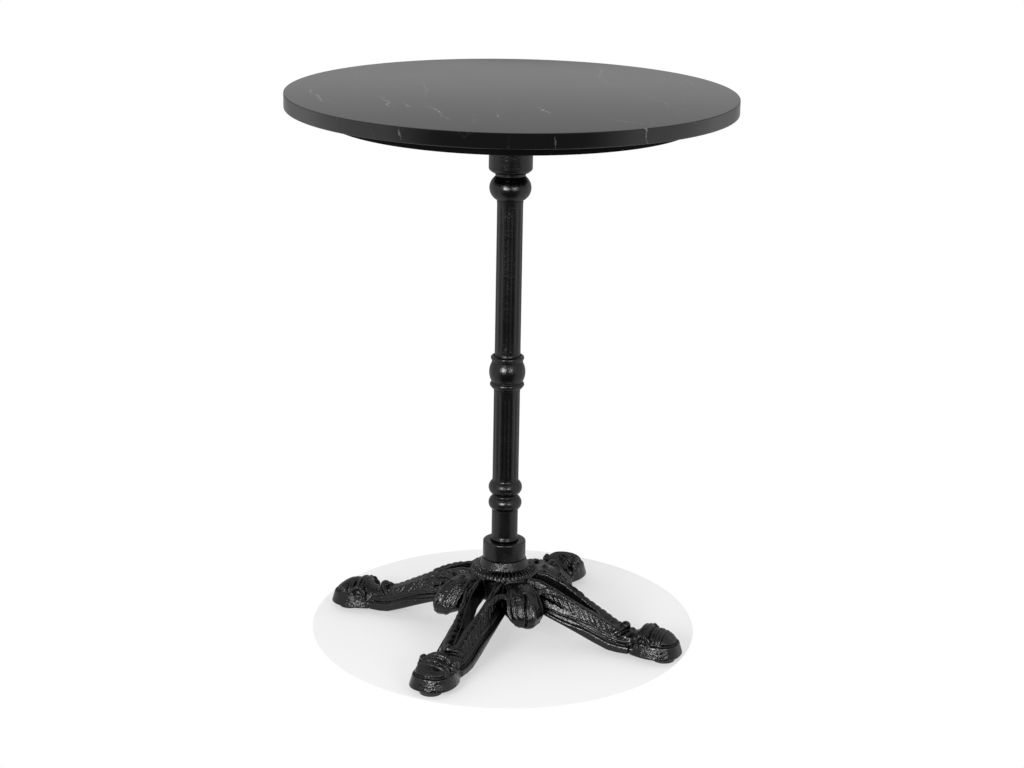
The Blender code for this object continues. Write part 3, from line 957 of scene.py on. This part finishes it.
def add_paw(shape, turn):
    """Lion's paw: knuckle roll, second roll, domed toe cap and an arch on each side."""
    # Inset and height of the plinth's levels; the last three draw in under the toes.
    levels = [
        (0.0012, PAW_FLOOR),
        (0.0, PAW_FLOOR + 0.001),
        (0.001, 0.014),
        (0.0034, 0.0225),
        (0.0042, 0.0256),
        (0.006, 0.0268),
        (0.011, 0.0264),
        (0.0112, 0.03),
    ]
    add_loft(shape, [plinth_section(inset, height, turn) for inset, height in levels])
    add_ball(shape, (0.215, 0.0, 0.0245), (0.0142, 0.0256, 0.024), turn, 48)
    add_ball(shape, (0.2305, 0.0, 0.0245), (0.0108, 0.0236, 0.0192), turn, 48)
    add_ball(shape, (0.203, 0.0, 0.0225), (0.012, 0.0205, 0.015), turn)
    # Toe cap: reach, half width and height of its crown.
    cap = [
        (0.225, 0.0236, 0.0432),
        (0.234, 0.024, 0.0424),
        (0.241, 0.0228, 0.04),
        (0.247, 0.0198, 0.0364),
        (0.252, 0.0154, 0.0324),
        (0.255, 0.01, 0.0292),
    ]
    sections = []
    for reach, half, crown in cap:
        side = [(half, 0.024)]
        for step in range(9):
            angle = pi / 2 * step / 8
            rise = (crown - 0.0262) * sin(angle) ** 0.9
            side.append((half * cos(angle) ** 0.8, 0.0262 + rise))
        sections.append(leg_section(turn, reach, side + mirrored(side[:-1])))
    add_loft(shape, sections)
    for side in (1, -1):
        add_ball(shape, (0.215, side * 0.024, 0.0256), (0.0046, 0.0042, 0.0046), turn)
        arch = []
        for step in range(13):
            angle = radians(-30 + 240 * step / 12)
            along = 0.215 + 0.01 * cos(angle)
            arch.append((along, 0.0232, 0.0262 + 0.0124 * sin(angle), 0.0034))
        add_tube(shape, arch, turn, side)


# Down a leaf: height, reach of its inner side, reach of its face and half width.
LEAF_LEVELS = [
    (0.0398, 0.08, 0.0925, 0.004),
    (0.0418, 0.072, 0.0985, 0.0098),
    (0.045, 0.064, 0.1016, 0.016),
    (0.049, 0.054, 0.1034, 0.0216),
    (0.054, 0.045, 0.1038, 0.0254),
    (0.06, 0.036, 0.1025, 0.0264),
    (0.07, 0.03, 0.097, 0.0252),
    (0.08, 0.028, 0.087, 0.0225),
    (0.0865, 0.027, 0.0765, 0.018),
    (0.0895, 0.026, 0.065, 0.012),
]
LEAF_ROUND = 0.55               # share of a leaf's depth that curves round its sides


def add_leaf(shape, turn):
    """Drooping leaf between two legs, with a rolled rim and a small scroll."""
    sections = []
    for height in np.linspace(LEAF_LEVELS[0][0], LEAF_LEVELS[-1][0], 22):
        inner, outer, half = lookup(LEAF_LEVELS, height)
        depth = (outer - inner) * LEAF_ROUND
        section = [Vector((inner, -half * 0.7, height))]
        for step in range(21):
            angle = -pi / 2 + pi * step / 20
            along = outer - depth + depth * cos(angle)
            section.append(Vector((along, half * sin(angle), height)))
        section.append(Vector((inner, half * 0.7, height)))
        sections.append([turn @ point for point in section])
    add_loft(shape, sections)
    for side in (1, -1):
        rim = []
        for step, height in enumerate(np.linspace(0.0425, 0.0885, 14)):
            inner, outer, half = lookup(LEAF_LEVELS, height)
            along = outer - (outer - inner) * LEAF_ROUND * 0.62
            radius = 0.0016 + 0.0012 * sin(pi * step / 13)
            rim.append((along, half * 0.93, height, radius))
        add_tube(shape, rim, turn, side)
    scroll = []
    for step in range(19):
        angle = radians(-20 + 200 * step / 18)
        size = 0.0078 - 0.0016 * step / 18
        rise = 1.3 * size * sin(angle)
        across = -0.014 + size * cos(angle)
        radius = 0.0021 - 0.0007 * step / 18
        scroll.append((0.088 - 0.8 * rise, across, 0.073 + rise, radius))
    add_tube(shape, scroll, turn)
    # Ridges down the face: height, across and radius at the points of each.
    drop = [
        (0.0865, 0.0, 0.0016),
        (0.079, 0.0018, 0.0022),
        (0.072, 0.0034, 0.003),
        (0.065, 0.0044, 0.0038),
        (0.058, 0.0046, 0.004),
        (0.05, 0.0034, 0.002),
    ]
    fold = [(0.086, 0.011, 0.0016), (0.078, 0.014, 0.0024), (0.066, 0.015, 0.0016)]
    for ridge in (drop, fold):
        path = []
        for height, across, radius in ridge:
            inner, outer, half = lookup(LEAF_LEVELS, height)
            depth = (outer - inner) * LEAF_ROUND
            along = outer - depth + depth * sqrt(1 - (across / half) ** 2)
            path.append((along, across, height, radius))
        add_tube(shape, path, turn)
    add_ball(shape, (0.062, 0.0, 0.088), (0.005, 0.0046, 0.005), turn)


def leg_relief(reach, across, height, facing):
    """Feathers, line and sunk panel on the outer faces of the legs, in metres."""
    ridge, slot, _, _, skirt = lookup(LEG_STATIONS, reach)
    down = ridge - height
    share = down / np.maximum(ridge - skirt, 0.001)
    line_share, groove_top, groove_bottom = lookup(FLANK_LINES, reach)
    outside = fade(facing, 0.1, 0.45) * fade(np.abs(across), slot, slot + 0.002)
    along = window(reach, FEATHER_START, FEATHER_END, 0.004)
    phase = (reach - 0.95 * down) / FEATHER_PITCH
    lobe = np.abs(np.sin(pi * phase)) ** 0.6
    spine = 1 - fade(np.abs(phase % 1.0 - 0.5), 0.03, 0.14)
    vigour = 0.8 + 0.25 * np.sin(2.4 * np.floor(phase))
    tip = np.minimum(line_share, 0.42) - 0.16 + 0.1 * lobe
    barbs = window(share, -0.3, tip, 0.06) * fade(share, -0.02, 0.1)
    feathers = (lobe - 0.12 * spine) * barbs * vigour
    crest = window(share, -0.3, 0.05, 0.03)
    serrated = np.abs(np.sin(pi * reach / FEATHER_PITCH)) ** 0.5 * crest
    line = window(share, line_share - 0.012, line_share + 0.012, 0.022)
    panel = window(share, line_share + 0.07, groove_top - 0.02, 0.03)
    panel = panel * fade(groove_top - line_share, 0.05, 0.12)
    groove = window(share, groove_top + 0.02, groove_bottom - 0.03, 0.03)
    relief = along * (0.0016 * feathers - 0.0004 * barbs + 0.0012 * serrated)
    body = window(reach, 0.06, 0.19, 0.006)
    relief += body * (0.0012 * line - 0.0008 * panel - 0.0026 * groove)
    return relief * outside


def paw_relief(reach, across, height):
    """Ribs across the knuckle, arcs over the toe cap and the waist over the plinth."""
    on_paw = window(reach, 0.203, 0.27, 0.002) * fade(height, 0.027, 0.03)
    knuckle = window(reach, 0.2055, 0.2215, 0.001)
    ribs = -0.0012 * np.abs(np.cos(pi * (reach - 0.206) / 0.0075)) ** 4 * knuckle
    second = -0.0016 * window(reach, 0.2232, 0.224, 0.0014)
    second -= 0.001 * window(reach, 0.2345, 0.2352, 0.0012)
    arcs = np.abs(np.sin(pi * (reach - 0.228) / 0.0044))
    arcs = -0.0014 * (1 - fade(arcs, 0.05, 0.7)) * window(reach, 0.227, 0.242, 0.001)
    heel = -0.0016 * (1 - fade(np.abs(reach - 0.1968), 0.0004, 0.0014))
    heel = heel * fade(np.abs(across), 0.018, 0.022) * (1 - fade(height, 0.022, 0.026))
    waist = -0.002 * window(height, 0.0266, 0.0282, 0.001) * fade(reach, 0.24, 0.246)
    return on_paw * (ribs + second + arcs) + heel + waist


def leaf_relief(reach, across, height, facing):
    """Centre vein, a shallow hollow on each side of it and a rim line along the tip."""
    _, _, half = lookup(LEAF_LEVELS, height)
    share = np.abs(across) / np.maximum(half, 0.001)
    on_face = fade(facing, 0.15, 0.5) * window(height, 0.044, 0.084, 0.003)
    on_face = on_face * fade(reach, 0.066, 0.072) * (1 - fade(share, 1.05, 1.15))
    middle = -0.0015 - 0.0055 * (1 - fade(height, 0.066, 0.084))
    vein_groove = -0.003 * (1 - fade(np.abs(across - middle), 0.0004, 0.002))
    hollows = -0.001 * window(share, 0.45, 0.7, 0.12)
    lip = 0.0012 * window(height, 0.0405, 0.0455, 0.001) * fade(reach, 0.075, 0.08)
    return on_face * (vein_groove + hollows) + lip * fade(facing, 0.0, 0.3)


def hub_relief(angle, radius, height):
    """Slanted lines on the flared ring and a row of deep notches at the cone's foot."""
    upper = window(height, 0.0955, 0.104, 0.001) * window(radius, 0.0348, 0.048, 0.001)
    wave = np.abs(np.sin(GADROONS / 2 * (angle + 5.0 * (radius - 0.035))))
    lines = -0.0018 * (1 - fade(wave, 0.2, 0.8))
    notches = -0.0022 * (1 - fade(wave, 0.4, 0.85)) * window(radius, 0.035, 0.04, 0.001)
    return upper * (lines + notches)


def read_vertices(mesh):
    """Places and normals of a mesh's vertices as arrays."""
    places = np.empty(len(mesh.vertices) * 3)
    normals = np.empty(len(mesh.vertices) * 3)
    mesh.vertices.foreach_get("co", places)
    mesh.vertex_normals.foreach_get("vector", normals)
    return places.reshape(-1, 3), normals.reshape(-1, 3)


def along_spokes(places, normals, offset):
    """Reach and across on the nearest spoke, with the sideways and outward normals."""
    angle = np.arctan2(places[:, 1], places[:, 0])
    radius = np.hypot(places[:, 0], places[:, 1])
    quarter = tau / LEG_COUNT
    centre = (np.round(angle / quarter - offset) + offset) * quarter
    reach = radius * np.cos(angle - centre)
    across = radius * np.sin(angle - centre)
    sideways = normals[:, 1] * np.cos(centre) - normals[:, 0] * np.sin(centre)
    outward = normals[:, 0] * np.cos(centre) + normals[:, 1] * np.sin(centre)
    return reach, across, sideways, outward


def mark_slots(piece):
    """Mark the faces within the legs' slots, which the iron's material makes rougher and darkens
    with painted shade.
    """
    places, normals = read_vertices(piece.data)
    reach, across, sideways, _ = along_spokes(places, normals, 0.0)
    ridge, _, shoulder, _, _ = lookup(LEG_STATIONS, reach)
    painted_slot_shade = window(reach, 0.05, 0.15, 0.004) * fade(-sideways * np.sign(across), 0.1, 0.4)
    painted_slot_shade = painted_slot_shade * (1 - fade(np.abs(across), shoulder, shoulder + 0.004))
    painted_slot_shade = painted_slot_shade * fade(ridge - places[:, 2], 0.001, 0.004)
    attribute = piece.data.attributes.new("painted_slot_shade", "FLOAT", "POINT")
    attribute.data.foreach_set("value", painted_slot_shade)


def sculpt(piece):
    """Move the skin of the base casting along its normals by the relief."""
    mesh = piece.data
    places, normals = read_vertices(mesh)
    angle = np.arctan2(places[:, 1], places[:, 0])
    radius = np.hypot(places[:, 0], places[:, 1])
    height = places[:, 2]
    relief = hub_relief(angle, radius, height)
    for offset in (0.0, 0.5):
        reach, across, side, outward = along_spokes(places, normals, offset)
        near = np.abs(across) < 0.034
        if offset:
            near &= (radius > 0.055) & (radius < 0.11)
            facing = np.maximum(outward, 0.0)
            relief += near * leaf_relief(reach, across, height, facing)
        else:
            near &= reach > 0.058
            facing = side * np.sign(across) + 0.3 * np.maximum(normals[:, 2], 0.0)
            relief += near * leg_relief(reach, across, height, facing)
            relief += near * paw_relief(reach, across, height)
    places += normals * relief[:, None]
    places[:, 2] = np.maximum(places[:, 2], PAW_FLOOR)
    mesh.vertices.foreach_set("co", places.ravel())
    mesh.update()


def make_base_casting():
    """One casting: turned hub, four legs with paws and four hanging leaves."""
    hub = [
        (ROD_HOLE, 0.1183),
        (SPIGOT_RADIUS, 0.1183),
        (SPIGOT_RADIUS, HUB_TOP),
        (0.03, HUB_TOP),
        (0.0306, 0.1112),
        (0.0334, 0.103),
        (0.0352, 0.101, -0.3),
        (0.0452, 0.0974),  # flared ring
        (0.046, 0.0962, 0.3),
        (0.0452, 0.0858, 0.35),
        (0.0438, 0.0846),
        (0.044, 0.0812, 0.6),  # thin lip under it
        (0.04, 0.079),
        (0.0396, 0.062),
        (0.037, 0.057, 0.3),
        (CAVITY_RADIUS, 0.057),
        (CAVITY_RADIUS, CAVITY_TOP),
        (ROD_HOLE, CAVITY_TOP),
    ]
    shape = bmesh.new()
    add_turned(shape, refine(outline(hub, 12), 0.004, True), 144, closed=True)
    for index in range(LEG_COUNT):
        turn = leg_turn(index)
        add_leg(shape, turn)
        add_arches(shape, turn)
        add_bud(shape, turn)
        add_paw(shape, turn)
        add_leaf(shape, leg_turn(index, 0.5))
    base = cast("base_with_paws", shape)
    sculpt(base)
    holes = [(0.0, 0.0, ROD_HOLE, 0.07, 0.125), (0.0, 0.0, CAVITY_RADIUS, 0.03, CAVITY_TOP)]
    for index in range(LEG_COUNT):
        centre = leg_turn(index) @ Vector((STUD_CENTRE, 0.0, 0.0))
        holes.append((centre.x, centre.y, STUD_HOLE, PAW_FLOOR - 0.003, STUD_HOLE_TOP))
    drill(base, holes)
    mark_slots(base)
    base.data.set_sharp_from_angle(angle=radians(60))
    place_piece(base, IRON, "base_casting")


# ---- rods and levellers


def threaded(name, radius, low, high, pitch, depth, chamfer, spans):
    """Turned rod whose spans (low, high) carry a helical thread."""
    corners = disc_corners(radius, low, high, chamfer, chamfer)

    def thread(angle, place, height):
        if place < radius - 1e-6:
            return 0.0
        share = (height / pitch - angle / tau) % 1.0
        cut = fade(abs(2 * share - 1), 0.1, 0.9)
        within = sum(window(height, start, end, pitch) for start, end in spans)
        return -depth * float(cut * within)

    return turned(name, corners, 32, spacing=pitch / 6, relief=thread, angle=70)


def make_tie_rod():
    low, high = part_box("tie_rod")
    spans = [(low.z + 0.0015, low.z + 0.045), (high.z - 0.045, high.z - 0.0015)]
    rod = threaded("threaded_rod", high.x, low.z, high.z, ROD_PITCH, 0.0009, 0.001, spans)
    place_piece(rod, STEEL, "tie_rod")


def make_levellers():
    """Glide pads and their threaded studs."""
    for number in range(1, LEG_COUNT + 1):
        leveller = f"leveller_{number}"
        low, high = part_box(f"{leveller}_pad")
        centre = Matrix.Translation(((low.x + high.x) / 2, (low.y + high.y) / 2, 0.0))
        radius = (high.x - low.x) / 2
        corners = [
            (0.0, 0.0028),
            (0.0043, 0.0028),
            (0.0043, high.z),
            (0.009, high.z),
            (radius - 0.0006, high.z - 0.0012),
            (radius, high.z - 0.002, 0.4),
            (radius, 0.0014),
            (radius - 0.0012, 0.0, 0.4),
            (0.0, 0.0),
        ]

        def grip(angle, place, height):
            on_side = window(height, 0.0024, high.z - 0.003, 0.0005)
            rim = place > radius - 1e-6
            return -0.0003 * (0.5 + 0.5 * cos(36 * angle)) * float(on_side) * rim

        pad = turned(f"glide_{number}", corners, 144, steps=4, spacing=0.001, relief=grip)
        pad.data.transform(centre)
        place_piece(pad, PLASTIC, f"{leveller}_pad", f"{leveller}_foot")
        low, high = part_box(f"{leveller}_stud")
        spans = [(low.z + 0.0012, high.z - 0.0012)]
        name = f"threaded_stud_{number}"
        stud = threaded(name, 0.004, low.z, high.z, STUD_PITCH, 0.0007, 0.0008, spans)
        stud.data.transform(centre)
        place_piece(stud, STEEL, f"{leveller}_stud", f"{leveller}_screw")


def repaint_fasteners():
    """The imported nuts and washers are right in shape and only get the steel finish."""
    for name in ("top_nut", "top_washer", "bottom_washer", "bottom_spring_washer", "bottom_nut"):
        for material_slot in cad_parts[name].material_slots:
            material_slot.link = "OBJECT"
            material_slot.material = STEEL[0]


# ---- camera and setting


def toward_camera(aside=0.0):
    """Level direction from the table to the camera, turned aside by some degrees."""
    azimuth = radians(CAMERA_AZIMUTH + aside)
    return Vector((sin(azimuth), -cos(azimuth), 0.0))


def make_camera():
    azimuth = radians(CAMERA_AZIMUTH)
    data = bpy.data.cameras.new("camera")
    data.lens = CAMERA_LENS
    data.sensor_width = 36.0
    data.sensor_fit = "HORIZONTAL"
    camera = new_object("camera", data)
    place = Matrix.Translation(
        (CAMERA_DISTANCE * sin(azimuth), -CAMERA_DISTANCE * cos(azimuth), CAMERA_HEIGHT)
    )
    pan = Matrix.Rotation(azimuth - radians(CAMERA_PAN), 4, "Z")
    tilt = Matrix.Rotation(radians(90 - CAMERA_TILT), 4, "X")
    roll = Matrix.Rotation(radians(CAMERA_ROLL), 4, "Z")
    camera.matrix_world = place @ pan @ tilt @ roll
    bpy.context.scene.camera = camera


def make_floor():
    """Pale round floor patch, a little longer behind the table than before it."""
    azimuth = radians(CAMERA_AZIMUTH)
    shape = bmesh.new()
    bmesh.ops.create_circle(shape, cap_ends=True, segments=128, radius=1.0)
    floor = finish_mesh("floor", shape)
    turn = Matrix.Rotation(azimuth, 4, "Z")
    size = Matrix.Diagonal((*FLOOR_REACH, 1.0, 1.0))
    floor.matrix_world = turn @ Matrix.Translation((0.0, FLOOR_SHIFT, 0.0)) @ size
    nodes = Finish("pale_floor")
    speckle = nodes.noise(30.0, 3.0)
    colour = nodes.mix(speckle, 0.43, 0.45)
    roughness = nodes.remap(speckle, 0.75, 0.85)
    glow = {"Emission_Color": rgba(1.0), "Emission_Strength": FLOOR_GLOW}
    floor.data.materials.append(nodes.finish(colour, roughness, speckle, 0.00002, **glow))


# Brightness round the table, from behind it at 0 to the camera at 1.
LOW_BAND = [(0.0, 0.32), (0.07, 0.35), (0.25, 0.84), (0.72, 0.8), (0.89, 0.12), (1.0, 0.09)]
HIGH_BAND = [
    (0.0, 0.42),
    (0.06, 0.4),
    (0.25, 0.74),
    (0.8, 0.74),
    (0.93, 0.35),
    (0.985, 0.06),
    (1.0, 0.02),
]


def make_world():
    """White surround that is dark behind the camera and bright at both sides."""
    world = bpy.data.worlds.new("studio")
    bpy.context.scene.world = world
    world.use_nodes = True
    nodes = Nodes(world.node_tree)
    world.node_tree.nodes.clear()
    direction = nodes.add("TexCoord").outputs["Generated"]
    level = nodes.vector("NORMALIZE", nodes.vector("MULTIPLY", direction, (1.0, 1.0, 0.0)))
    around = nodes.vector("DOT_PRODUCT", level, toward_camera())
    around = nodes.maths("MULTIPLY_ADD", around, 0.5, 0.5)
    low_band = nodes.ramp(around, LOW_BAND)
    high_band = nodes.ramp(around, HIGH_BAND)
    up = nodes.add("SeparateXYZ", Vector=direction).outputs["Z"]
    above = nodes.ramp(nodes.maths("MULTIPLY_ADD", up, 0.5, 0.5), [(0.5, 0.0), (0.56, 1.0)])
    light = nodes.mix(above, low_band, high_band)
    overhead = nodes.ramp(up, [(0.45, 0.0), (0.85, 1.0)])
    light = nodes.mix(overhead, light, 0.7)
    seen = nodes.add("Background", Color=rgba(1.0), Strength=1.0)
    lit = nodes.add("Background", Color=light, Strength=1.08)
    camera_ray = nodes.add("LightPath").outputs["Is Camera Ray"]
    mixed = nodes.add("MixShader", i0=camera_ray, i1=lit.outputs[0], i2=seen.outputs[0])
    nodes.add("OutputWorld", Surface=mixed.outputs[0])


def make_softbox(name, aside, width, energy):
    """Wide lamp at an angle beside the camera, aimed at the table."""
    data = bpy.data.lights.new(name, "AREA")
    data.shape = "RECTANGLE"
    data.size = width
    data.size_y = SOFTBOX_HEIGHT
    data.energy = energy
    light = new_object(name, data)
    rise = radians(SOFTBOX_ELEVATION)
    direction = toward_camera(aside) * cos(rise)
    direction.z = sin(rise)
    light.location = Vector((0.0, 0.0, LAMP_AIM)) + direction * SOFTBOX_DISTANCE
    light.rotation_euler = direction.to_track_quat("Z", "Y").to_euler()
    return light


def shade_from_softboxes(piece, lights):
    """Keep the lamps' mirror images out of a polished piece."""
    unlit = bpy.data.collections.new("not_lit_by_softboxes")
    unlit.objects.link(piece)
    unlit.collection_objects[0].light_linking.link_state = "EXCLUDE"
    for light in lights:
        light.light_linking.receiver_collection = unlit


make_camera()
make_world()
softboxes = [
    make_softbox("left_softbox", -23.5, 1.2, 88.0),
    make_softbox("right_softbox", 24.0, 1.1, 34.0),
]
make_floor()
shade_from_softboxes(make_marble_top(), softboxes)
make_backing_board()
make_top_spider()
make_spider_screws()
make_column()
make_base_collar()
make_base_casting()
make_tie_rod()
make_levellers()
repaint_fasteners()

bpy.context.scene.view_settings.view_transform = "Standard"
